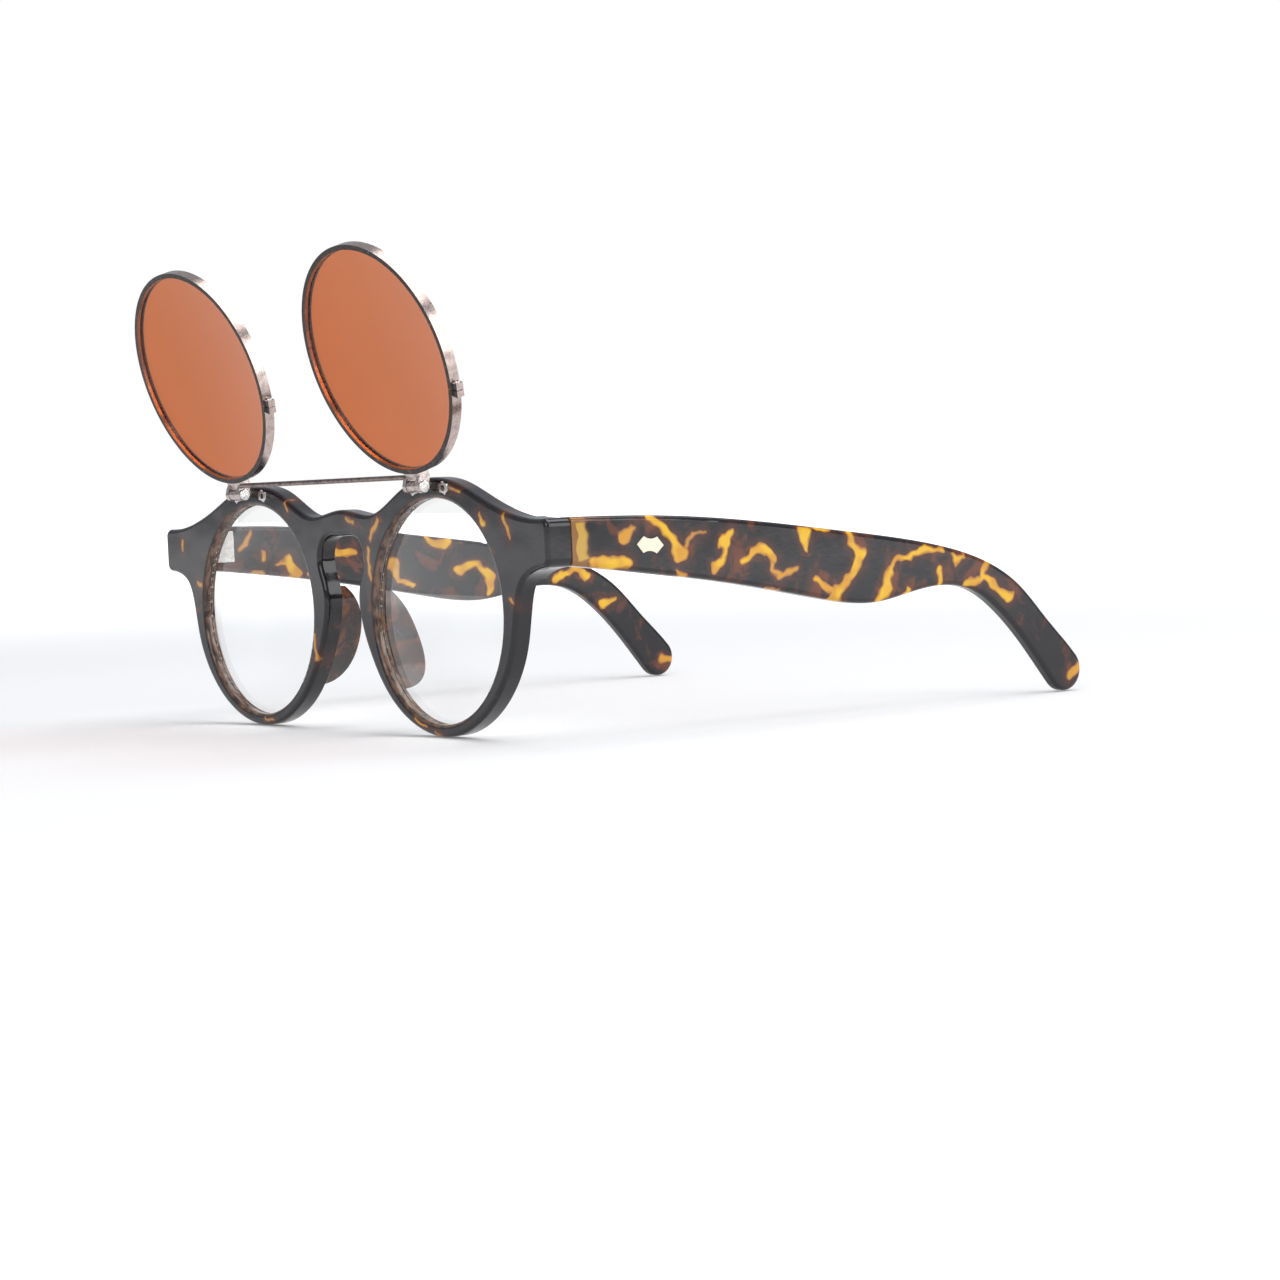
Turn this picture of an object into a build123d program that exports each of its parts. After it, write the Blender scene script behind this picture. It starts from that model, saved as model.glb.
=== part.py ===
from build123d import *
import os
from math import cos, radians, sin, sqrt

# Flip-up spectacles: a round acetate frame with clear lenses, and a second pair of tinted
# lenses in thin metal rims, joined by a bar and hinged above the brows so that they flip down.
# Millimetres. +X is the wearer's left, the front faces -Y, the temples run towards +Y, +Z is up.
# While building, Y = 0 is the face of the front and Z = 0 is the height of the lens centres.
# settle() then moves everything so that the origin is the bottom centre of the whole object.

# ---- front frame -------------------------------------------------------------------------
lens_radius = 22.0            # opening in the front for each clear lens
bridge_gap = 23.2             # between the two openings
half_width = 71.1             # middle to the outer end of an endpiece
front_thickness = 3.8
endpiece_depth = 5.5          # front to back, where a temple butts on
endpiece_length = 8.1         # how far the deeper endpiece runs inwards from the end
endpiece_top = 17.6
endpiece_bottom = 8.3
face_rounding = 0.9           # soft front edges
endpiece_corner = 1.6         # rounded corners of the endpieces, seen from the front
rim_bottom_width = 2.4        # lowest stretch of the rim, which meets the table
bridge_top_drop = 1.6         # bridge top below the height of the openings' tops
bridge_height = 5.3           # acetate between bridge top and keyhole
# ---- clear lens --------------------------------------------------------------------------
lens_thickness = 1.8
lens_bevel = 0.5              # ridge round the edge that sits in the groove
lens_flat = 0.4               # flat band each side of the ridge, on either lens
lens_curve = 130.0            # radius of the front surface
clear_lens_set = 1.5          # front edge of the lens behind the face of the front
# ---- nose pads ---------------------------------------------------------------------------
pad_width = 3.3
pad_reach = 6.6               # how far a pad stands out behind the front
pad_splay = 0.3               # sideways run per millimetre of reach
pad_top = 5.5                 # above the lens centres
pad_bottom = -15.5            # below the lens centres
pad_belly = (0.65, 3.6)       # upper shape: share of the reach, drop below the top
pad_deepest = 11.5            # the pad reaches furthest back this far below its top
pad_heel = (0.80, 3.0)        # lower shape: share of the reach, height above the bottom
# ---- temples -----------------------------------------------------------------------------
temple_thickness = 4.0
tip_thickness = 3.0
temple_gap = 0.3              # temple end to endpiece
shaft_length = 93.2           # temple front to the start of the ear bend
bend_height = 8.1             # top edge at the start of the ear bend
tip_reach = 40.2              # start of the ear bend to the tip, along Y
tip_radius = 4.5              # rounded end of the tip
tip_slope = 49.0              # degrees that the tip runs down
temple_rounding = 0.9
core_width = 1.6
core_thickness = 1.0
plaque_length = 6.4
plaque_height = 3.2
plaque_inset = 0.35
plaque_proud = 0.15
plaque_from_front = 18.3
plaque_below_middle = 1.45    # below the middle of the temple's front end
plaque_tilt = -4.0            # degrees
plaque_waist = 0.45           # hollow of its long sides
# ---- temple hinges -----------------------------------------------------------------------
barrel_radius = 1.3
barrel_behind_endpiece = 1.5  # hinge axis behind the endpiece
barrel_beside_temple = 1.4    # hinge axis inboard of the temple's inner face
knuckle_height = 1.4
knuckle_gap = 0.05
knuckle_count = 5
leaf_thickness = 1.0
front_leaf_length = 4.6
temple_leaf_length = 9.0
front_leaf_margin = 0.3       # leaf past the knuckles, above and below
temple_leaf_margin = 0.1      # leaf short of the knuckles, above and below
temple_leaf_set = 0.6         # leaf behind the temple's front end
knuckle_root_slack = 0.05     # temple knuckles' roots, slimmer than their barrel
hinge_screw_radius = 0.7
hinge_screw_clearance = 0.05
hinge_screw_head = 1.15
hinge_screw_head_height = 0.5
# ---- flip hinges -------------------------------------------------------------------------
flip_axis_forward = 3.3       # hinge axis in front of the front's face
flip_axis_above_rim = 2.4     # hinge axis above the top of the lens opening
flip_lean = 18.0              # raised lenses lean this far forward of upright
knuckle_radius = 1.2
knuckle_half = 1.5            # half width of the fixed knuckle
ear_gap = 0.1
ear_thickness = 1.1
ear_radius = 1.3
stem_height = 1.4
back_plate_thickness = 0.8
back_plate_angle = 15.5       # either side of the stem, round the lens centre
back_plate_width = 2.4
rivet_offset = 5.0            # either side of the hinge
rivet_radius = 0.9
rivet_hole_radius = 0.55
rivet_head_length = 3.4
rivet_head_height = 2.2
rivet_head_proud = 0.45
rivet_head_waist = 0.15
rivet_lean = 18.0             # degrees, the heads follow the rim
pivot_radius = 0.6
pivot_clearance = 0.05
pivot_head_radius = 1.15
pivot_head_height = 0.6
slot_width = 0.32
slot_depth = 0.25
slot_reach = 0.65             # slot length as a share of the head
head_bevel = 0.3              # bevel as a share of the head's height
# ---- flip rims and tinted lenses ---------------------------------------------------------
flip_lens_radius = 22.0
flip_rim_width = 1.0
flip_rim_depth = 2.2
flip_drop = 2.5               # flip rim's outer edge from the hinge axis
sun_lens_set = 0.7
sun_lens_thickness = 1.6
sun_lens_bevel = 0.45
bracket_neck = 0.7            # front of an ear, forward of the axis, where it meets the rim
bracket_gap = 0.15            # ear's round end to the underside of the bridge
bar_radius = 0.5
bar_offset = 1.9              # bar above the hinge axis when the lenses are raised
bar_back = 0.1                # bar behind the hinge axis when the lenses are raised
closer_root = 0.4             # closing block let into the rim
closer_angle = -18.0          # closing block on the rim, from the rim's +X side
closer_half_length = 1.4
closer_height = 1.3
closer_depth = 1.6
rim_split = 0.2
rim_screw_radius = 0.35
rim_screw_head_radius = 0.55
rim_screw_head_height = 0.35

# ---- places worked out from the sizes ----------------------------------------------------
lens_x = bridge_gap / 2 + lens_radius
flip_axis_z = lens_radius + flip_axis_above_rim
flip_axis_y = -flip_axis_forward
temple_inner_x = half_width - 0.1 - temple_thickness
temple_outer_x = temple_inner_x + temple_thickness
temple_front_y = endpiece_depth + temple_gap
hinge_x = temple_inner_x - barrel_beside_temple
hinge_y = endpiece_depth + barrel_behind_endpiece
hinge_stack = knuckle_count * knuckle_height
hinge_z = (endpiece_top + endpiece_bottom) / 2 - hinge_stack / 2
flip_rim_outer = flip_lens_radius + flip_rim_width
flip_centre = flip_rim_outer + flip_drop
ear_inner = knuckle_half + ear_gap
ear_outer = ear_inner + ear_thickness
floor_z = -(lens_radius + rim_bottom_width)
overrun = 5.0                 # how far a cutting tool runs past what it cuts
hinge_frame = Pos(0, flip_axis_y, flip_axis_z) * Rot(flip_lean, 0, 0)


def rim_point(angle, width):
    """A point of the front's outline: an angle round the left lens and the rim's width there."""
    reach = lens_radius + width
    return (lens_x + reach * cos(radians(angle)), reach * sin(radians(angle)))


def both_sides(points):
    """A run of points from the middle to the wearer's left, led into by its mirror image."""
    middle, *rest = points
    return [(-x, z) for x, z in reversed(rest)] + [middle] + rest


def stretches(curve, count):
    """A long smooth curve cut into stretches of one edge each."""
    edge = curve.edge()
    return [edge.trim(number / count, (number + 1) / count) for number in range(count)]


def closed_face(*lines):
    """A flat face inside a closed run of lines, which stay separate edges."""
    return Face(Wire([line.edge() for line in lines]))


def front_outline():
    """The front seen from the front, with square endpieces and no lens openings."""
    bridge_top = lens_radius - bridge_top_drop
    keyhole_top = bridge_top - bridge_height
    top = Spline(*both_sides([
        (0, bridge_top),
        (bridge_gap / 2 + 0.4, bridge_top - 1.0),
        rim_point(130, 5.2),
        rim_point(111, 4.4),
        rim_point(93, 4.1),
        rim_point(75, 4.1),
        rim_point(53, 5.1),
        (half_width - 11.0, endpiece_top + 0.8),
        (half_width, endpiece_top),
    ]))
    bottom = Spline(*both_sides([
        (0, keyhole_top),
        rim_point(152.5, 8.8),
        rim_point(158, 5.6),
        rim_point(170, 5.8),
        rim_point(-178, 5.4),
        rim_point(-163, 4.0),
        rim_point(-135, 2.8),
        rim_point(-90, rim_bottom_width),
        rim_point(-45, 2.9),
        rim_point(-15, 3.9),
        rim_point(3, 5.0),
        rim_point(11, 7.4),
        (half_width - 4.5, endpiece_bottom - 0.5),
        (half_width, endpiece_bottom),
    ]))
    ends = [Line(top @ 1, bottom @ 1), Line(bottom @ 0, top @ 0)]
    return closed_face(*stretches(top, 4), ends[0], *stretches(bottom, 8), ends[1])


def meniscus(radius, thickness, curve, bevel):
    """A round lens on the Y axis, its front edge at Y = 0 and its convex side towards -Y."""
    sag = curve - sqrt(curve**2 - radius**2)
    blank = bar_along("y", radius, -sag - overrun, thickness)
    ridge = Polyline((radius - lens_flat, lens_flat), (radius, lens_flat), (radius + bevel, thickness / 2),
                     (radius, thickness - lens_flat), (radius - lens_flat, thickness - lens_flat),
                     (radius - lens_flat, lens_flat))
    blank += revolve(make_face(ridge), Axis.Y, 360)
    blank &= Pos(0, curve - sag, 0) * Sphere(curve)
    return blank - Pos(0, curve - sag + thickness, 0) * Sphere(curve)


def bar_along(axis, radius, start, end, across=(0, 0)):
    """A round bar along one axis, from start to end, at a place across it."""
    length = end - start
    middle = (start + end) / 2
    if axis == "x":
        return Pos(middle, across[0], across[1]) * Rot(0, 90, 0) * Cylinder(radius, length)
    if axis == "y":
        return Pos(across[0], middle, across[1]) * Rot(90, 0, 0) * Cylinder(radius, length)
    return Pos(across[0], across[1], middle) * Cylinder(radius, length)


def block(low, high):
    """A box between two corners."""
    size = [h - l for l, h in zip(low, high)]
    centre = [(h + l) / 2 for l, h in zip(low, high)]
    return Pos(*centre) * Box(*size)


def hex_plaque(length, height, thickness, waist):
    """A stretched hexagon with hollowed long sides, lying in the XY plane."""
    tip = length / 2
    shoulder = length / 4
    edge = height / 2
    outline = Curve() + [
        Polyline((-shoulder, edge), (-tip, 0), (-shoulder, -edge)),
        ThreePointArc((-shoulder, -edge), (0, -edge + waist), (shoulder, -edge)),
        Polyline((shoulder, -edge), (tip, 0), (shoulder, edge)),
        ThreePointArc((shoulder, edge), (0, edge - waist), (-shoulder, edge)),
    ]
    return extrude(make_face(outline), amount=thickness)


def clear_lens():
    lens = meniscus(lens_radius, lens_thickness, lens_curve, lens_bevel)
    return Pos(lens_x, clear_lens_set, 0) * lens


def flip_base():
    """The fixed half of one flip hinge: knuckle, stem through the front, plate let into the back."""
    knuckle = bar_along("x", knuckle_radius, lens_x - knuckle_half, lens_x + knuckle_half,
                        (flip_axis_y, flip_axis_z))
    half = stem_height / 2
    plate_y = front_thickness - back_plate_thickness
    stem = block((lens_x - knuckle_half, flip_axis_y, flip_axis_z - half),
                 (lens_x + knuckle_half, plate_y, flip_axis_z + half))
    inner = flip_axis_z - back_plate_width / 2
    ring = bar_along("y", inner + back_plate_width, plate_y, front_thickness, (lens_x, 0))
    ring -= bar_along("y", inner, plate_y - overrun, front_thickness + overrun, (lens_x, 0))
    spread = (inner + back_plate_width) * sin(radians(back_plate_angle))
    plate = ring & block((lens_x - spread, plate_y, 0), (lens_x + spread, front_thickness, 2 * inner))
    bore = bar_along("x", pivot_radius + pivot_clearance, lens_x - knuckle_half - overrun,
                     lens_x + knuckle_half + overrun, (flip_axis_y, flip_axis_z))
    base = knuckle + stem + plate - bore
    for place in rivet_places():
        base -= rivet_blank(place)
    return base


def rivet_places():
    """Centres of one hinge's two rivets, on the same circle round the lens as the stem."""
    height = sqrt(flip_axis_z**2 - rivet_offset**2)
    return [(lens_x - rivet_offset, height), (lens_x + rivet_offset, height)]


def rivet_blank(place):
    """A rivet before it is drilled: a shaft and a small hexagonal head on the face of the front."""
    lean = -rivet_lean if place[0] > lens_x else rivet_lean
    head = hex_plaque(rivet_head_length, rivet_head_height, rivet_head_proud, rivet_head_waist)
    head = Plane.XZ * (Rot(0, 0, lean) * head)
    shaft = bar_along("y", rivet_radius, 0, front_thickness)
    return Pos(place[0], 0, place[1]) * (head + shaft)


def rivet(place):
    """A tubular rivet, drilled from end to end."""
    return rivet_blank(place) - bar_along("y", rivet_hole_radius, -overrun, front_thickness + overrun, place)


def front_leaf():
    """Hinge leaf let into the back of the left endpiece, with three knuckles."""
    low_z = hinge_z - front_leaf_margin
    high_z = hinge_z + hinge_stack + front_leaf_margin
    leaf = block((hinge_x - front_leaf_length / 2, endpiece_depth - leaf_thickness, low_z),
                 (hinge_x + front_leaf_length / 2, endpiece_depth, high_z))
    for number in range(0, knuckle_count, 2):
        bottom = hinge_z + number * knuckle_height
        top = bottom + knuckle_height
        leaf += bar_along("z", barrel_radius, bottom, top, (hinge_x, hinge_y))
        leaf += block((hinge_x - barrel_radius, endpiece_depth, bottom), (hinge_x + barrel_radius, hinge_y, top))
    bore = bar_along("z", hinge_screw_radius, hinge_z - overrun, hinge_z + hinge_stack + overrun,
                     (hinge_x, hinge_y))
    return leaf - bore


def temple_leaf():
    """Hinge leaf let into the inner face of the left temple, with two knuckles."""
    low_y = temple_front_y + temple_leaf_set
    leaf = block((temple_inner_x, low_y, hinge_z + temple_leaf_margin),
                 (temple_inner_x + leaf_thickness, low_y + temple_leaf_length,
                  hinge_z + hinge_stack - temple_leaf_margin))
    for number in range(1, knuckle_count, 2):
        bottom = hinge_z + number * knuckle_height + knuckle_gap
        top = bottom + knuckle_height - 2 * knuckle_gap
        reach = barrel_radius - knuckle_root_slack
        leaf += bar_along("z", barrel_radius, bottom, top, (hinge_x, hinge_y))
        leaf += block((hinge_x, hinge_y - reach, bottom), (temple_inner_x, hinge_y + reach, top))
    bore = bar_along("z", hinge_screw_radius + hinge_screw_clearance, hinge_z - overrun,
                     hinge_z + hinge_stack + overrun, (hinge_x, hinge_y))
    return leaf - bore


def cross_recess(radius):
    """Two crossed slots cut into the top of a screw head, whose top is at Z = 0."""
    slot = Box(2 * radius, slot_width, 2 * slot_depth)
    return slot + Rot(0, 0, 90) * slot


def screw(radius, length, head_radius, head_height):
    """A screw down the Z axis, with the underside of its head at Z = 0."""
    head = Pos(0, 0, head_height / 2) * Cylinder(head_radius, head_height)
    head = chamfer(head.edges().group_by(Axis.Z)[-1], head_height * head_bevel)
    shaft = Pos(0, 0, -length / 2) * Cylinder(radius, length)
    return head + shaft - Pos(0, 0, head_height) * cross_recess(head_radius * slot_reach)


def temple_screw():
    body = screw(hinge_screw_radius, hinge_stack, hinge_screw_head, hinge_screw_head_height)
    return Pos(hinge_x, hinge_y, hinge_z + hinge_stack) * body


def temple_outline():
    """Side view of a temple: Y along it, Z up, with the ear bend and the rounded tip."""
    y0 = temple_front_y
    bend = y0 + shaft_length
    tip = bend + tip_reach
    run = (cos(radians(tip_slope)), -sin(radians(tip_slope)))
    side = (tip_radius * run[1], -tip_radius * run[0])
    middle = (tip - tip_radius, floor_z + tip_radius)
    above = (middle[0] - side[0], middle[1] - side[1])
    below = (middle[0] + side[0], middle[1] + side[1])
    beyond = (middle[0] + tip_radius * run[0], middle[1] + tip_radius * run[1])
    top = Spline(
        (y0, endpiece_top - 0.1),
        (y0 + 0.20 * shaft_length, endpiece_top - 0.5),
        (y0 + 0.46 * shaft_length, bend_height + 7.1),
        (y0 + 0.74 * shaft_length, bend_height + 3.8),
        (bend, bend_height),
        (bend + 11.4, bend_height - 3.1),
        (bend + 22.6, bend_height - 9.0),
        (bend + 31.0, bend_height - 17.1),
        above,
        tangents=((1, -0.01), run),
    )
    bottom = Spline(
        below,
        (bend + 24.6, floor_z + 10.6),
        (bend + 17.0, bend_height - 14.5),
        (bend + 9.0, bend_height - 9.6),
        (bend - 3.0, bend_height - 8.6),
        (y0 + 0.81 * shaft_length, bend_height - 10.8),
        (y0 + 0.66 * shaft_length, bend_height - 9.3),
        (y0 + 0.46 * shaft_length, endpiece_bottom - 5.9),
        (y0 + 0.20 * shaft_length, endpiece_bottom - 2.2),
        (y0, endpiece_bottom + 0.1),
        tangents=((-run[0], -run[1]), (-1, 0.12)),
    )
    front = Line(bottom @ 1, top @ 0)
    return closed_face(*stretches(top, 4), ThreePointArc(above, beyond, below), *stretches(bottom, 4), front)


def temple_core():
    """Flat steel wire inside the left temple, from behind the hinge leaf to the tip."""
    bend = temple_front_y + shaft_length
    start = temple_front_y + temple_leaf_length + 3.0
    line = FilletPolyline(
        (start, (endpiece_top + endpiece_bottom) / 2 - 0.6),
        (bend + 4.0, bend_height - 4.4),
        (bend + 20.0, bend_height - 11.6),
        (bend + 33.0, bend_height - 26.0),
        radius=18,
    )
    strip = trace(line, line_width=core_width)
    # the wire lies midway between the faces of the tapering tip
    middle = temple_inner_x + (temple_thickness + (temple_thickness - tip_thickness) * 0.5) / 2
    return Pos(middle - core_thickness / 2, 0, 0) * extrude(Plane.YZ * strip, amount=core_thickness)


def plaque():
    """Small metal plaque let into the outer face of the left temple."""
    shape = hex_plaque(plaque_length, plaque_height, plaque_inset + plaque_proud, plaque_waist)
    place = Pos(temple_outer_x - plaque_inset, temple_front_y + plaque_from_front,
                (endpiece_top + endpiece_bottom) / 2 - plaque_below_middle)
    return place * (Plane.YZ * (Rot(0, 0, plaque_tilt) * shape))


def side_edges(blank):
    """The long edges of a temple: those that don't run across its thickness or its front end."""
    return [edge for edge in blank.edges() if abs((edge % 0.5).X) < 0.5 and edge.length > 11]


def temple():
    blank = extrude(Plane.YZ * temple_outline(), amount=temple_thickness, dir=(1, 0, 0))
    blank = Pos(temple_inner_x, 0, 0) * blank
    tip_y = temple_front_y + shaft_length + tip_reach
    taper = make_face(Polyline(
        (temple_inner_x, temple_front_y - 1),
        (temple_outer_x, temple_front_y - 1),
        (temple_outer_x, tip_y + 1),
        (temple_outer_x - tip_thickness, tip_y + 1),
        (temple_inner_x, temple_front_y - 1),
    ))
    blank &= extrude(taper, amount=shaft_length, both=True)
    blank = fillet(side_edges(blank), temple_rounding)
    return blank - temple_leaf() - temple_core() - plaque()


def nose_pad():
    """One pad: a fin behind the nasal edge of the left rim, splayed out towards the back."""
    rim_edge = [rim_point(170, 5.7), rim_point(-178, 5.3), rim_point(-163, 3.9), rim_point(-148, 3.1),
                rim_point(-138, 2.8)]
    inner_edge = [(x + pad_width, z) for x, z in rim_edge]
    outer = Spline(*rim_edge)
    inner = Spline(*inner_edge)
    strip = make_face(Curve() + [outer, Line(outer @ 1, inner @ 1), inner, Line(inner @ 0, outer @ 0)])
    fin = extrude(Plane.XZ * strip, amount=3 * pad_reach, dir=(pad_splay, 1, 0))
    fin = Pos(0, front_thickness, 0) * fin
    root = front_thickness
    side = Spline(
        (root, pad_top),
        (root + pad_reach * pad_belly[0], pad_top - pad_belly[1]),
        (root + pad_reach, pad_top - pad_deepest),
        (root + pad_reach * pad_heel[0], pad_bottom + pad_heel[1]),
        (root, pad_bottom),
    )
    profile = make_face(Curve() + [side, Line(side @ 1, side @ 0)])
    return fin & extrude(Plane.YZ * profile, amount=lens_x)


def front_frame():
    outline = Plane.XZ * front_outline()
    body = extrude(outline, amount=front_thickness, dir=(0, 1, 0))
    deep = extrude(outline, amount=endpiece_depth, dir=(0, 1, 0))
    inner_x = half_width - endpiece_length
    for side in (-1, 1):
        zone = Pos(side * (inner_x + endpiece_length / 2), 0, 0) * Box(endpiece_length, 4 * endpiece_depth,
                                                                       4 * lens_radius)
        body += deep & zone
    corners = [edge for edge in body.edges().filter_by(Axis.Y) if abs(edge.center().X) > half_width - 0.5]
    body = fillet(corners, endpiece_corner)
    for side in (-1, 1):
        body -= bar_along("y", lens_radius, -overrun, front_thickness + overrun, (side * lens_x, 0))
    body = fillet(body.edges().group_by(Axis.Y)[0], face_rounding)
    left_cuts = [clear_lens(), flip_base(), front_leaf()] + [rivet_blank(place) for place in rivet_places()]
    for cut in left_cuts:
        body -= cut
        body -= mirror(cut, Plane.YZ)
    return body


def flip_ring(x):
    """A rim of the raised pair in its hinge frame: open at the closing block, grooved for its lens."""
    ring = bar_along("y", flip_rim_outer, 0, flip_rim_depth)
    ring -= bar_along("y", flip_lens_radius, -overrun, flip_rim_depth + overrun)
    middle = flip_rim_depth / 2
    lug = block((flip_rim_outer - closer_root, middle - closer_depth / 2, -closer_half_length),
                (flip_rim_outer + closer_height, middle + closer_depth / 2, closer_half_length))
    ring += Rot(0, -closer_angle, 0) * lug
    gap = block((flip_lens_radius - overrun, -overrun, -rim_split / 2),
                (flip_rim_outer + closer_height + overrun, flip_rim_depth + overrun, rim_split / 2))
    ring -= Rot(0, -closer_angle, 0) * gap
    ring = Pos(x, 0, flip_centre) * ring
    return ring - sun_lens(x) - rim_screw(x)


def rim_screw(x):
    """The screw that pulls the two lugs of a rim together."""
    body = screw(rim_screw_radius, 2 * closer_half_length, rim_screw_head_radius, rim_screw_head_height)
    body = Pos(flip_rim_outer + closer_height / 2, flip_rim_depth / 2, closer_half_length) * body
    return Pos(x, 0, flip_centre) * Rot(0, -closer_angle, 0) * body


def sun_lens(x):
    """Tinted lens, whose convex side faces backwards while it is raised."""
    lens = meniscus(flip_lens_radius, sun_lens_thickness, lens_curve, sun_lens_bevel)
    lens = Pos(0, sun_lens_thickness, 0) * Rot(0, 0, 180) * lens
    return Pos(x, sun_lens_set, flip_centre) * lens


def flip_bracket(x):
    """The moving half of one flip hinge: two ears and the bridge soldered to the rim."""
    bridge_z = ear_radius + bracket_gap
    top_z = flip_centre - flip_lens_radius
    ear = Circle(ear_radius) + make_face(Polyline(
        (-ear_radius, 0), (-bracket_neck, bridge_z), (0, bridge_z + bracket_neck), (0, top_z),
        (flip_rim_depth, top_z), (flip_rim_depth, bridge_z), (ear_radius, 0), (-ear_radius, 0)))
    ears = Part()
    for side in (-1, 1):
        start = x + side * (ear_inner + ear_thickness / 2) - ear_thickness / 2
        ears += Pos(start, 0, 0) * extrude(Plane.YZ * ear, amount=ear_thickness)
    bridge = block((x - ear_outer, 0, bridge_z), (x + ear_outer, flip_rim_depth, top_z))
    bracket = ears + bridge - bar_along("y", flip_rim_outer, -overrun, flip_rim_depth + overrun, (x, flip_centre))
    return bracket - bar_along("x", pivot_radius, x - ear_outer - overrun, x + ear_outer + overrun)


def pivot_screw(x):
    """Screw through both ears and the fixed knuckle, its head on the wearer's left."""
    body = screw(pivot_radius, 2 * ear_outer, pivot_head_radius, pivot_head_height)
    return Pos(x + ear_outer, 0, 0) * Rot(0, 90, 0) * body


def cross_bar():
    reach = lens_x - ear_outer
    return bar_along("x", bar_radius, -reach, reach, (bar_back, bar_offset))


def all_parts():
    """Every piece by name, before the whole is moved to its origin."""
    pieces = {"front_frame": front_frame(), "flip_bar": hinge_frame * cross_bar()}
    left = {
        "clear_lens": clear_lens(),
        "nose_pad": nose_pad(),
        "temple": temple(),
        "temple_core": temple_core(),
        "temple_plaque": plaque(),
        "front_hinge_leaf": front_leaf(),
        "temple_hinge_leaf": temple_leaf(),
        "temple_hinge_screw": temple_screw(),
        "flip_hinge_base": flip_base(),
        "flip_hinge_rivets": Compound([rivet(place) for place in rivet_places()]),
    }
    for name, shape in left.items():
        pieces[name + "_left"] = shape
        pieces[name + "_right"] = mirror(shape, Plane.YZ)
    for name, x in (("left", lens_x), ("right", -lens_x)):
        pieces["flip_rim_" + name] = hinge_frame * flip_ring(x)
        pieces["flip_rim_screw_" + name] = hinge_frame * rim_screw(x)
        pieces["sun_lens_" + name] = hinge_frame * sun_lens(x)
        pieces["flip_bracket_" + name] = hinge_frame * flip_bracket(x)
        pieces["flip_hinge_screw_" + name] = hinge_frame * pivot_screw(x)
    return pieces


def settle(pieces):
    """Move everything so that the origin is at the bottom centre of the whole object."""
    boxes = [shape.bounding_box() for shape in pieces.values()]
    middle_y = (min(b.min.Y for b in boxes) + max(b.max.Y for b in boxes)) / 2
    lowest = min(b.min.Z for b in boxes)
    move = Pos(0, -middle_y, -lowest)
    print("temple hinge axis", hinge_x, hinge_y - middle_y, "flip axis", flip_axis_y - middle_y,
          flip_axis_z - lowest, "face of the front", -middle_y, "lens centres", -lowest)
    return {name: move * shape for name, shape in pieces.items()}


os.makedirs("parts", exist_ok=True)
for name, shape in settle(all_parts()).items():
    export_step(shape, "parts/" + name + ".step")
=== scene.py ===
import math

import bpy
from mathutils import Matrix, Vector


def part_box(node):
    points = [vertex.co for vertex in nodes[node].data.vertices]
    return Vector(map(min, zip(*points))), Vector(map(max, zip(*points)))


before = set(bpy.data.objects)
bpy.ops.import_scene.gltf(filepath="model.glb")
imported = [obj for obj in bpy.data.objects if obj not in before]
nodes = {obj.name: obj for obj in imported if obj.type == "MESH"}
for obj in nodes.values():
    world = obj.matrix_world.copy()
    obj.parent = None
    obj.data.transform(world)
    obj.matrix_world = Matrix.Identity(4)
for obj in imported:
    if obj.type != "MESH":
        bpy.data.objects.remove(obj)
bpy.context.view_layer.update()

# Flip-up spectacles. Everything is in metres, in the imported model's own frame: +X is the wearer's
# left, the front faces -Y, the temples run towards +Y, +Z is up. Patterns are laid out in
# millimetres from the face of the front and the height of the lens centres.

MM = 0.001
front_low, front_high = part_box("front_frame")
lens_low, lens_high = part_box("clear_lens_left")
face_y = front_low.y
lens_x = (lens_low.x + lens_high.x) / 2
lens_z = (lens_low.z + lens_high.z) / 2
lens_edge = (lens_high.x - lens_low.x) / 2 / MM - 0.5      # radius of the opening, mm
front_x = front_high.x / MM                                # outer end of an endpiece, mm
temple_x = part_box("temple_left")[1].x / MM                 # outer face of a temple, mm


# ---- building shader trees -------------------------------------------------------------------

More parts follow.
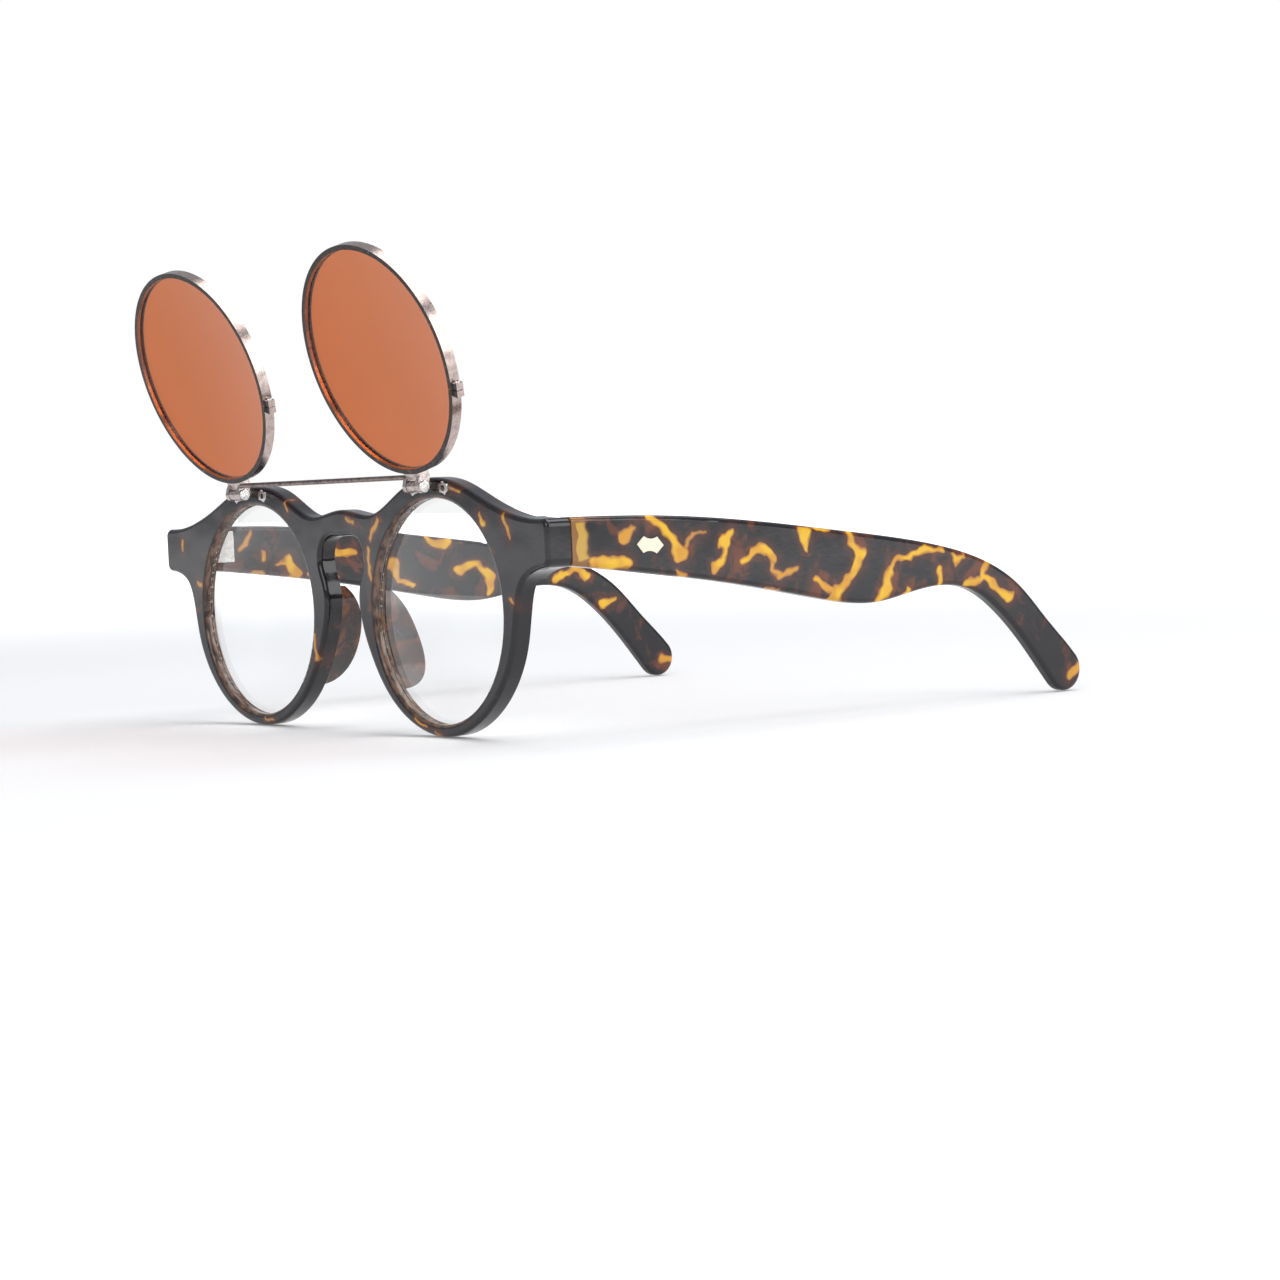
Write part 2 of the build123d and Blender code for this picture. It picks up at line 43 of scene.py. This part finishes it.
class Tree:
    """A material's node tree, with short names for the nodes used here."""

    def __init__(self, name):
        self.material = bpy.data.materials.new(name)
        self.material.use_nodes = True
        self.tree = self.material.node_tree
        self.tree.nodes.clear()
        self.output = self.add("ShaderNodeOutputMaterial")

    def add(self, kind, **settings):
        node = self.tree.nodes.new(kind)
        for key, value in settings.items():
            setattr(node, key, value)
        return node

    def put(self, socket, value):
        """Links a socket to another, or sets it to a plain number, colour or vector."""
        if isinstance(value, bpy.types.NodeSocket):
            self.tree.links.new(value, socket)
        else:
            socket.default_value = value

    def math(self, operation, a, b=0.0, c=0.0, clamp=False):
        node = self.add("ShaderNodeMath", operation=operation, use_clamp=clamp)
        for socket, value in zip(node.inputs, (a, b, c)):
            self.put(socket, value)
        return node.outputs[0]

    def vector(self, operation, a, b=(0.0, 0.0, 0.0), scale=1.0):
        node = self.add("ShaderNodeVectorMath", operation=operation)
        self.put(node.inputs[0], a)
        if operation == "SCALE":
            self.put(node.inputs["Scale"], scale)
        elif operation != "LENGTH":
            self.put(node.inputs[1], b)
        return node.outputs["Value"] if operation in ("LENGTH", "DOT_PRODUCT") else node.outputs["Vector"]

    def parts(self, vector):
        node = self.add("ShaderNodeSeparateXYZ")
        self.put(node.inputs[0], vector)
        return node.outputs

    def join(self, x, y, z):
        node = self.add("ShaderNodeCombineXYZ")
        for socket, value in zip(node.inputs, (x, y, z)):
            self.put(socket, value)
        return node.outputs[0]

    def noise(self, vector, scale, detail=2.0, roughness=0.5, distortion=0.0, colour=False):
        node = self.add("ShaderNodeTexNoise")
        self.put(node.inputs["Vector"], vector)
        for name, value in (("Scale", scale), ("Detail", detail), ("Roughness", roughness),
                            ("Distortion", distortion)):
            self.put(node.inputs[name], value)
        return node.outputs["Color" if colour else "Fac"]

    def span(self, value, low, high, to_low=0.0, to_high=1.0, smooth=True):
        """A value mapped from one span to another, held at the ends."""
        node = self.add("ShaderNodeMapRange", interpolation_type="SMOOTHSTEP" if smooth else "LINEAR")
        for socket, number in zip(node.inputs, (value, low, high, to_low, to_high)):
            self.put(socket, number)
        return node.outputs[0]

    def ramp(self, value, stops, mode="LINEAR"):
        node = self.add("ShaderNodeValToRGB")
        ramp = node.color_ramp
        ramp.interpolation = mode
        while len(ramp.elements) < len(stops):
            ramp.elements.new(0.5)
        for element, (place, colour) in zip(ramp.elements, stops):
            element.position = place
            element.color = (*colour, 1.0)
        self.put(node.inputs[0], value)
        return node.outputs["Color"]

    def mix(self, factor, a, b):
        node = self.add("ShaderNodeMix", data_type="RGBA")
        self.put(node.inputs[0], factor)
        self.put(node.inputs[6], a if isinstance(a, bpy.types.NodeSocket) else (*a, 1.0))
        self.put(node.inputs[7], b if isinstance(b, bpy.types.NodeSocket) else (*b, 1.0))
        return node.outputs[2]

    def place(self):
        """The surface point at rest, in millimetres from the face of the front and the lens centres."""
        node = self.add("ShaderNodeTexCoord")
        moved = self.vector("SUBTRACT", node.outputs["Object"], (0.0, face_y, lens_z))
        return self.vector("SCALE", moved, scale=1 / MM)

    def facing(self):
        """The surface's own normal at rest."""
        return self.add("ShaderNodeTexCoord").outputs["Normal"]

    def bump(self, height, distance, strength=1.0, normal=None):
        node = self.add("ShaderNodeBump")
        self.put(node.inputs["Height"], height)
        self.put(node.inputs["Distance"], distance)
        self.put(node.inputs["Strength"], strength)
        if normal is not None:
            self.put(node.inputs["Normal"], normal)
        return node.outputs[0]

    def shader(self, **inputs):
        node = self.add("ShaderNodeBsdfPrincipled")
        for name, value in inputs.items():
            socket = node.inputs[name.replace("_", " ")]
            if isinstance(value, tuple) and len(value) == 3 and socket.type == "RGBA":
                value = (*value, 1.0)
            self.put(socket, value)
        return node.outputs[0]

    def finish(self, surface):
        self.put(self.output.inputs["Surface"], surface)
        return self.material

    def near_stroke(self, point, stroke):
        """How far a point is outside a stroke, a run of (u, v, half width) drawn in a plane, in mm.
        Negative inside it. Runs of a stroke flow into each other."""
        nearest = None
        for (au, av, ar), (bu, bv, br) in zip(stroke, stroke[1:]):
            run = Vector((bu - au, bv - av, 0))
            offset = self.vector("SUBTRACT", point, (au, av, 0.0))
            share = self.vector("DOT_PRODUCT", offset, tuple(run / run.length_squared))
            share = self.math("ADD", share, 0.0, clamp=True)
            along = self.vector("SCALE", tuple(run), scale=share)
            gap = self.vector("LENGTH", self.vector("SUBTRACT", offset, along))
            width = self.math("MULTIPLY_ADD", share, br - ar, ar)
            gap = self.math("SUBTRACT", gap, width)
            nearest = gap if nearest is None else self.math("SMOOTH_MIN", nearest, gap, 0.5)
        return nearest

    def near_strokes(self, point, strokes):
        nearest = None
        for stroke in strokes:
            gap = self.near_stroke(point, stroke)
            nearest = gap if nearest is None else self.math("SMOOTH_MIN", nearest, gap, 0.35)
        return nearest


def dress(material, *names):
    """Gives CAD nodes a material, over every slot they have."""
    for name in names:
        slots = nodes[name].material_slots
        for slot in slots:
            slot.material = material


def both(name):
    return [name + "_left", name + "_right"]


# ---- tortoise acetate ------------------------------------------------------------------------
# Each stroke is (along, up, half width), in mm: the vivid patches in the temples and the front.

temple_patches = [
    [(10.0, 8.9, 0.9), (18.8, 8.0, 1.1)],
    [(24.6, 16.2, 0.9), (27.3, 14.9, 0.9), (30.0, 11.8, 0.9), (31.6, 9.3, 1.7)],
    [(44.7, 13.8, 0.5), (42.8, 11.2, 1.6), (41.6, 10.6, 0.5)],
    [(43.0, 10.6, 0.6), (41.6, 7.6, 0.5), (39.8, 6.5, 1.0)],
    [(46.4, 7.3, 0.7), (48.8, 9.2, 0.9), (52.4, 9.4, 1.0), (54.2, 7.9, 1.1)],
    [(62.9, 12.1, 1.6), (63.1, 9.0, 0.7)],
    [(65.0, 13.2, 0.6), (69.8, 12.7, 0.5)],
    [(74.0, 12.4, 0.8), (75.0, 9.6, 0.9), (77.6, 6.6, 1.5), (74.6, 3.0, 0.9), (71.0, 0.7, 1.2),
     (69.9, -2.0, 1.8)],
    [(65.0, 3.0, 0.6), (69.2, 0.2, 1.0)],
    [(100.2, 7.5, 0.5), (93.4, 7.2, 0.8), (90.4, 6.1, 0.7), (87.0, 5.6, 0.6), (85.2, 3.6, 0.6),
     (84.6, 0.4, 1.4), (81.6, -2.6, 0.9)],
    [(90.0, -0.1, 0.8), (89.2, -2.2, 1.2)],
    [(98.6, 2.8, 0.9), (99.1, 0.2, 0.9)],
    [(102.7, 6.1, 0.4), (103.4, 4.6, 0.9), (106.0, 4.7, 0.35), (106.3, 6.2, 0.3)],
    [(112.5, 4.0, 0.8), (110.9, 1.1, 0.8), (114.6, -1.3, 0.8), (118.2, -3.6, 1.3)],
    [(110.6, 0.6, 0.6), (106.6, 0.1, 1.1)],
]
temple_veins = [
    [(31.8, 9.2, 0.5), (34.4, 12.2, 0.35), (37.6, 13.3, 0.2)],
    [(54.0, 7.8, 0.6), (53.9, 5.8, 0.5), (56.1, 3.7, 0.6), (60.3, 4.9, 0.6)],
    [(31.2, 5.8, 0.5), (33.0, 4.8, 0.7)],
    [(52.4, 1.8, 0.3), (56.2, 1.1, 0.5)],
    [(135.2, -21.4, 0.9), (139.0, -19.6, 0.8), (143.0, -19.8, 0.8)],
    [(20.4, 15.0, 0.6), (18.0, 13.0, 1.2)],
]
right_patches = [
    [(29.6, 9.9, 0.9), (27.0, 9.3, 0.4), (26.0, 8.2, 0.4)],
    [(28.8, 9.4, 1.2), (30.8, 6.4, 1.1), (29.6, 4.4, 1.3)],
    [(22.4, 11.3, 0.4), (22.3, 9.8, 0.5)],
    [(39.0, 13.2, 0.9), (42.0, 10.4, 1.3), (47.0, 10.6, 0.7)],
    [(52.0, 6.0, 0.8), (56.4, 7.4, 1.4), (58.0, 3.4, 0.7), (62.0, 1.6, 0.9)],
    [(66.0, 12.4, 0.7), (70.4, 10.8, 1.4), (73.0, 12.2, 0.6)],
    [(74.0, 4.8, 1.2), (80.0, 6.0, 0.7), (84.0, 3.0, 1.5), (83.0, -1.0, 0.7)],
    [(92.0, 8.2, 0.9), (94.4, 4.6, 1.3), (99.0, 3.6, 0.7)],
    [(104.0, 1.2, 1.3), (108.6, 3.6, 0.7), (113.0, 1.4, 1.1)],
    [(118.0, -6.0, 1.2), (121.4, -4.4, 0.6)],
]
right_veins = [
    [(19.4, 15.6, 0.5), (18.0, 13.2, 0.8), (16.6, 12.5, 0.6)],
    [(18.0, 5.6, 0.5), (20.6, 6.9, 0.6), (22.8, 6.2, 0.6), (24.0, 4.8, 0.5)],
    [(34.0, 6.0, 0.6), (38.0, 4.6, 0.9), (42.0, 5.2, 0.4)],
    [(135.2, -20.6, 0.9), (142.0, -20.4, 0.9)],
]
front_patches = [
    [(-53.2, 0.3, 0.5), (-53.9, -2.4, 0.7)],
    [(50.0, 18.7, 0.4), (51.0, 17.0, 0.6)],
    [(57.6, 18.0, 0.6), (58.6, 15.6, 0.5), (59.2, 13.8, 0.3)],
    [(-41.8, -20.2, 0.3), (-40.6, -21.2, 0.35)],
    [(25.0, -21.2, 0.3), (28.6, -22.5, 0.4)],
]
front_veins = [
    [(14.4, 18.0, 0.7), (11.6, 14.2, 0.6)],
    [(10.3, 12.2, 0.6), (11.2, 6.6, 0.5)],
    [(-58.2, 5.7, 0.5), (-56.4, 5.2, 0.5)],
    [(-32.4, -22.9, 0.3), (-29.2, -23.3, 0.3)],
    [(31.6, -23.5, 0.3), (33.8, -24.0, 0.3)],
    [(-20.3, 22.2, 0.4), (-19.6, 20.3, 0.5)],
    [(58.8, 2.5, 0.4), (59.3, 1.7, 0.4)],
    [(-5.4, 12.4, 0.4), (-5.1, 8.0, 0.5)],
    [(-63.8, 15.2, 0.5), (-64.0, 12.8, 0.5)],
    [(-11.2, -5.4, 0.5), (-10.6, -9.8, 0.6)],
    [(3.0, 18.5, 0.4), (5.6, 17.9, 0.4)],
    [(41.0, 24.2, 0.3), (43.4, 23.2, 0.4)],
    [(-46.0, 17.2, 0.4), (-44.6, 18.6, 0.5)],
]

NIGHT = (0.0085, 0.0075, 0.0100)
EMBER = (0.120, 0.032, 0.012)
YELLOW = (0.890, 0.520, 0.012)
GOLD = (0.720, 0.330, 0.020)
TAN = (0.360, 0.140, 0.045)


def wobble(tree, point, amount, scale):
    """The point, pushed about a little so that drawn edges come out organic."""
    push = tree.noise(point, scale, detail=1.0, colour=True)
    push = tree.vector("SUBTRACT", push, (0.5, 0.5, 0.5))
    return tree.vector("ADD", point, tree.vector("SCALE", push, scale=2 * amount))


def polished(tree, point, colour, **more):
    """Hand-polished acetate: a hard gloss with slow waves and faint rubbing marks."""
    waves = tree.noise(point, 0.11, detail=1.0)
    rubbed = tree.noise(tree.vector("MULTIPLY", point, (1.0, 0.25, 1.6)), 1.9, detail=4.0, roughness=0.65)
    height = tree.math("MULTIPLY_ADD", rubbed, 0.025, waves)
    roughness = tree.span(rubbed, 0.3, 0.75, 0.07, 0.17)
    settings = dict(Base_Color=colour, Roughness=roughness, IOR=1.49, Coat_Weight=0.15, Coat_Roughness=0.04,
                    Normal=tree.bump(height, 0.00009))
    settings.update(more)
    return tree.shader(**settings)


def tortoise(tree, point, bright, dim, amber, smoke_from):
    """Colour of the acetate, from the distances to the bright patches and to the dim veins. amber is a
    slow noise that tells a patch's middle from its edge."""
    near = tree.math("MINIMUM", bright, tree.math("ADD", dim, 0.25))
    smoke = tree.noise(point, 0.16, detail=3.0, roughness=0.6, distortion=0.6)
    smoke = tree.span(smoke, smoke_from, smoke_from + 0.18)
    ground = tree.mix(smoke, NIGHT, EMBER)
    halo = tree.span(near, 2.3, 0.0)
    halo = tree.math("MULTIPLY", halo, tree.span(smoke, 0.0, 1.0, 0.35, 1.0))
    ground = tree.mix(halo, ground, (0.165, 0.040, 0.012))
    vein = tree.mix(tree.span(dim, -0.5, 0.0), GOLD, TAN)
    ground = tree.mix(tree.span(dim, 0.22, -0.12), ground, vein)
    patch = tree.mix(amber, YELLOW, GOLD)
    rim = tree.mix(tree.span(bright, -0.55, -0.05), patch, (0.50, 0.19, 0.015))
    return tree.mix(tree.span(bright, 0.16, -0.12), ground, rim)


def temple_material(name, patches, veins):
    tree = Tree(name)
    point = tree.place()
    x, y, z = tree.parts(wobble(tree, point, 1.5, 0.28))
    flat = tree.join(y, z, 0.0)
    amber = tree.span(tree.noise(point, 0.22, detail=1.0), 0.42, 0.68)
    colour = tortoise(tree, point, tree.near_strokes(flat, patches), tree.near_strokes(flat, veins), amber, 0.50)
    # the temple's end is clear amber, with the buried hinge leaf showing through it
    end = tree.span(y, 10.4, 8.6)
    leaf = tree.math("MULTIPLY", tree.span(tree.math("ABSOLUTE", tree.math("SUBTRACT", z, 13.0)), 3.6, 3.2),
                     tree.span(tree.math("ABSOLUTE", tree.math("SUBTRACT", y, 8.2)), 1.5, 1.2))
    amber_end = tree.mix(leaf, (0.30, 0.13, 0.03), (0.62, 0.37, 0.06))
    colour = tree.mix(end, colour, amber_end)
    return tree.finish(polished(tree, point, colour))


def front_material():
    tree = Tree("front_tortoise")
    point = tree.place()
    x, y, z = tree.parts(wobble(tree, point, 1.2, 0.35))
    flat = tree.join(x, z, 0.0)
    amber = tree.span(tree.noise(point, 0.25, detail=1.0), 0.35, 0.6)
    colour = tortoise(tree, point, tree.near_strokes(flat, front_patches),
                      tree.near_strokes(flat, front_veins), amber, 0.60)
    # painted glow: the thin walls round the lens openings are painted a lighter, mottled brown for the light that
    # passes through them
    across, deep, up = tree.parts(point)
    aside = tree.math("SUBTRACT", tree.math("ABSOLUTE", across), lens_x / MM)
    reach = tree.vector("LENGTH", tree.join(aside, up, 0.0))
    wall = tree.span(reach, lens_edge + 0.9, lens_edge + 0.1)
    glow = tree.noise(tree.vector("MULTIPLY", point, (1.0, 3.0, 1.0)), 0.35, detail=2.0)
    painted_wall_glow = tree.mix(tree.span(glow, 0.35, 0.65), (0.045, 0.026, 0.020), (0.200, 0.115, 0.075))
    colour = tree.mix(wall, colour, painted_wall_glow)
    return tree.finish(polished(tree, point, colour))


def pad_material():
    tree = Tree("pad_amber")
    point = tree.place()
    cloud = tree.noise(point, 0.22, detail=3.0, roughness=0.6, distortion=0.8)
    colour = tree.ramp(cloud, [(0.34, (0.010, 0.006, 0.006)), (0.50, (0.045, 0.014, 0.006)),
                               (0.62, (0.160, 0.045, 0.009)), (0.78, (0.300, 0.100, 0.014))])
    return tree.finish(polished(tree, point, colour, Subsurface_Weight=0.25,
                                Subsurface_Radius=(0.0016, 0.0006, 0.0002), Subsurface_Scale=1.0))


# ---- lenses ----------------------------------------------------------------------------------

def lens_material(name, tint, roughness, waviness, grain):
    """A lens: clear through, glossy, with light passing on to what is behind it."""
    tree = Tree(name)
    point = tree.place()
    speck = tree.noise(point, 5.0, detail=3.0, roughness=0.7)
    shade = tree.span(tree.noise(point, 0.05, detail=1.0), 0.3, 0.7)
    share = tree.math("MULTIPLY_ADD", speck, grain, shade)
    deeper = tuple(c * 0.94 for c in tint)
    colour = tree.mix(tree.math("MULTIPLY", share, 0.6, clamp=True), tint, deeper)
    film = tree.span(tree.noise(point, 0.35, detail=4.0, roughness=0.7), 0.45, 0.85, roughness, roughness + 0.02)
    glass = tree.shader(Base_Color=colour, Roughness=film, IOR=1.5, Transmission_Weight=1.0,
                        Normal=tree.bump(tree.noise(point, 0.08, detail=0.0), waviness))
    clear = tree.add("ShaderNodeBsdfTransparent")
    tree.put(clear.inputs["Color"], (*tint, 1.0))
    choose = tree.add("ShaderNodeMixShader")
    tree.put(choose.inputs[0], tree.add("ShaderNodeLightPath").outputs["Is Shadow Ray"])
    tree.put(choose.inputs[1], glass)
    tree.put(choose.inputs[2], clear.outputs[0])
    return tree.finish(choose.outputs[0])


# ---- metals ----------------------------------------------------------------------------------

def metal(name, light, dark, roughness, scratches=0.00002):
    """Polished plating with rubbed, slightly darker clouds and fine polishing lines."""
    tree = Tree(name)
    point = tree.place()
    cloud = tree.span(tree.noise(point, 0.9, detail=3.0, roughness=0.6), 0.38, 0.68)
    lines = tree.noise(tree.vector("MULTIPLY", point, (1.0, 9.0, 9.0)), 1.6, detail=3.0, roughness=0.7)
    colour = tree.mix(cloud, light, dark)
    rough = tree.span(lines, 0.3, 0.7, roughness, roughness * 2.0)
    return tree.finish(tree.shader(Base_Color=colour, Metallic=1.0, Roughness=rough,
                                   Normal=tree.bump(lines, scratches)))


def rim_material():
    """The flip rims: bright pinkish plating on the walls, and on the faces, picked by the way they face, a painted
    reflection: a dark brown that stands in for a dark room reflected in them.
    """
    tree = Tree("rim_plating")
    point = tree.place()
    # mask of the faces, by the direction they face, where the dark reflection is painted
    across = tree.vector("DOT_PRODUCT", tree.facing(), tuple(rim_axis))
    face = tree.span(tree.math("ABSOLUTE", across), 0.55, 0.85)
    worn = tree.noise(point, 1.1, detail=4.0, roughness=0.65)
    face = tree.math("MULTIPLY", face, tree.span(worn, 0.72, 0.60, 0.75, 1.0))
    lines = tree.noise(tree.vector("MULTIPLY", point, (1.0, 6.0, 1.0)), 2.2, detail=3.0, roughness=0.7)
    bright = tree.mix(tree.span(worn, 0.35, 0.7), (0.600, 0.490, 0.450), (0.420, 0.330, 0.305))
    # painted reflection: the dark brown given to the faces stands in for the dark room they reflect
    painted_face_reflection = tree.mix(tree.span(worn, 0.4, 0.65), (0.026, 0.020, 0.018), (0.060, 0.044, 0.038))
    return tree.finish(tree.shader(
        Base_Color=tree.mix(face, bright, painted_face_reflection),
        Metallic=tree.span(face, 0.0, 1.0, 1.0, 0.55),
        Roughness=tree.span(lines, 0.3, 0.7, 0.10, 0.24),
        Normal=tree.bump(lines, 0.00001)))


def plaque_material():
    tree = Tree("plaque_gold")
    point = tree.place()
    brushed = tree.noise(tree.vector("MULTIPLY", point, (1.0, 1.0, 12.0)), 2.5, detail=3.0, roughness=0.7)
    colour = tree.mix(tree.span(brushed, 0.3, 0.7), (0.93, 0.88, 0.72), (0.78, 0.70, 0.52))
    return tree.finish(tree.shader(Base_Color=colour, Metallic=0.85, Roughness=tree.span(brushed, 0.3, 0.7, 0.28, 0.42),
                                   Normal=tree.bump(brushed, 0.00001)))


sun_low, sun_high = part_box("sun_lens_left")
lean = math.asin(min(1.0, (sun_high.y - sun_low.y - 2.1 * MM) / (sun_high.x - sun_low.x)))
rim_axis = Vector((0, math.cos(lean), math.sin(lean)))

dress(front_material(), "front_frame")
dress(temple_material("temple_tortoise_left", temple_patches, temple_veins), "temple_left")
dress(temple_material("temple_tortoise_right", right_patches, right_veins), "temple_right")
dress(pad_material(), *both("nose_pad"))
dress(lens_material("lens_clear", (0.985, 0.992, 0.990), 0.0, 0.000002, 0.2), *both("clear_lens"))
dress(lens_material("lens_brown", (0.560, 0.135, 0.024), 0.0, 0.000006, 0.6), *both("sun_lens"))
dress(rim_material(), *both("flip_rim"))
dress(metal("bar_plating", (0.300, 0.235, 0.215), (0.130, 0.100, 0.092), 0.10), "flip_bar")
dress(metal("hinge_plating", (0.620, 0.540, 0.510), (0.380, 0.315, 0.295), 0.08),
      *both("flip_bracket"), *both("flip_hinge_base"))
dress(metal("rivet_steel", (0.840, 0.820, 0.800), (0.600, 0.570, 0.550), 0.12), *both("flip_hinge_rivets"))
dress(metal("screw_steel", (0.880, 0.860, 0.850), (0.700, 0.680, 0.670), 0.10),
      *both("flip_hinge_screw"), *both("flip_rim_screw"), *both("temple_hinge_screw"))
dress(metal("leaf_nickel", (0.780, 0.760, 0.730), (0.620, 0.590, 0.550), 0.16),
      *both("front_hinge_leaf"), *both("temple_hinge_leaf"))
dress(metal("core_steel_drawn", (0.620, 0.620, 0.620), (0.480, 0.480, 0.490), 0.25), *both("temple_core"))
dress(plaque_material(), *both("temple_plaque"))


# ---- camera ----------------------------------------------------------------------------------
azimuth, elevation, roll = map(math.radians, (52.125, 2.923, -2.464))
back = Vector((math.sin(azimuth) * math.cos(elevation), -math.cos(azimuth) * math.cos(elevation),
               math.sin(elevation)))
level = Vector((math.cos(azimuth), math.sin(azimuth), 0))
up = back.cross(level)
right = math.cos(roll) * level + math.sin(roll) * up
top = math.cos(roll) * up - math.sin(roll) * level
camera = bpy.data.objects.new("camera", bpy.data.cameras.new("camera"))
bpy.context.scene.collection.objects.link(camera)
camera.data.lens = 85.55
camera.data.sensor_width = 36.0
camera.data.clip_start = 0.01
place = Vector((0, face_y, lens_z)) + (60.28 * right - 5.92 * top + 616.26 * back) * MM
turn = Matrix((right, top, back)).transposed()
camera.matrix_world = Matrix.Translation(place) @ turn.to_4x4()
bpy.context.scene.camera = camera


# ---- studio ----------------------------------------------------------------------------------

def white_paper(name, colour, lift):
    """Matt paper that keeps the object's shadow. To the eye it is lifted a little near the object, and far
    from it, where the lamps don't reach, all the way to white."""
    tree = Tree(name)
    point = tree.place()
    grain = tree.noise(point, 0.6, detail=5.0, roughness=0.7)
    paper = tree.shader(Base_Color=tree.mix(tree.span(grain, 0.3, 0.7), colour, tuple(c * 0.985 for c in colour)),
                        Roughness=0.9, Normal=tree.bump(grain, 0.00005))
    away = tree.vector("LENGTH", tree.vector("MULTIPLY", point, (1.0, 1.0, 0.0)))
    glow = tree.add("ShaderNodeEmission")
    tree.put(glow.inputs["Color"], (1.0, 1.0, 1.0, 1.0))
    path = tree.add("ShaderNodeLightPath")
    seen = tree.math("MAXIMUM", path.outputs["Is Camera Ray"], path.outputs["Is Transmission Ray"])
    seen = tree.math("MAXIMUM", seen, path.outputs["Is Glossy Ray"])
    tree.put(glow.inputs["Strength"], tree.math("MULTIPLY", seen, tree.span(away, 300.0, 1300.0, lift, 1.0)))
    both_lights = tree.add("ShaderNodeAddShader")
    tree.put(both_lights.inputs[0], paper)
    tree.put(both_lights.inputs[1], glow.outputs[0])
    return tree.finish(both_lights.outputs[0])


def floor_mesh(half, name):
    mesh = bpy.data.meshes.new(name)
    mesh.from_pydata([(-half, -half, 0), (half, -half, 0), (half, half, 0), (-half, half, 0)], [], [(0, 1, 2, 3)])
    floor = bpy.data.objects.new(name, mesh)
    bpy.context.scene.collection.objects.link(floor)
    return floor


floor = floor_mesh(6.0, "floor")
floor.location.z = -0.0002
floor.data.materials.append(white_paper("floor_paper", (0.86, 0.86, 0.86), 0.14))


def soft_light(name, size, power, where, target=(0, 0, 0.03)):
    lamp = bpy.data.lights.new(name, "AREA")
    lamp.shape = "RECTANGLE"
    lamp.size, lamp.size_y = size
    lamp.energy = power
    lamp_object = bpy.data.objects.new(name, lamp)
    bpy.context.scene.collection.objects.link(lamp_object)
    lamp_object.location = where
    lamp_object.rotation_euler = (Vector(target) - Vector(where)).to_track_quat("-Z", "Y").to_euler()
    lamp_object.visible_camera = False
    return lamp_object


soft_light("top_light", (1.2, 1.0), 9.0, (0.2, 0.3, 1.2))
soft_light("side_light", (0.8, 0.8), 5.0, (1.2, 0.5, 0.5))
soft_light("front_light", (0.7, 0.7), 4.0, (0.6, -1.1, 0.7))

world = bpy.data.worlds.new("studio")
bpy.context.scene.world = world
world.use_nodes = True
wt = world.node_tree
wt.nodes.clear()
path = wt.nodes.new("ShaderNodeLightPath")
seen = wt.nodes.new("ShaderNodeMath")
seen.operation = "MAXIMUM"
wt.links.new(path.outputs["Is Camera Ray"], seen.inputs[0])
wt.links.new(path.outputs["Is Transmission Ray"], seen.inputs[1])
room = wt.nodes.new("ShaderNodeBackground")
room.inputs["Color"].default_value = (0.9, 0.93, 1.0, 1.0)
room.inputs["Strength"].default_value = 0.45
ground = wt.nodes.new("ShaderNodeBackground")
ground.inputs["Color"].default_value = (1.0, 1.0, 1.0, 1.0)
ground.inputs["Strength"].default_value = 1.0
pick = wt.nodes.new("ShaderNodeMixShader")
wt.links.new(seen.outputs[0], pick.inputs[0])
wt.links.new(room.outputs[0], pick.inputs[1])
wt.links.new(ground.outputs[0], pick.inputs[2])
out = wt.nodes.new("ShaderNodeOutputWorld")
wt.links.new(pick.outputs[0], out.inputs["Surface"])

bpy.context.scene.view_settings.view_transform = "Standard"
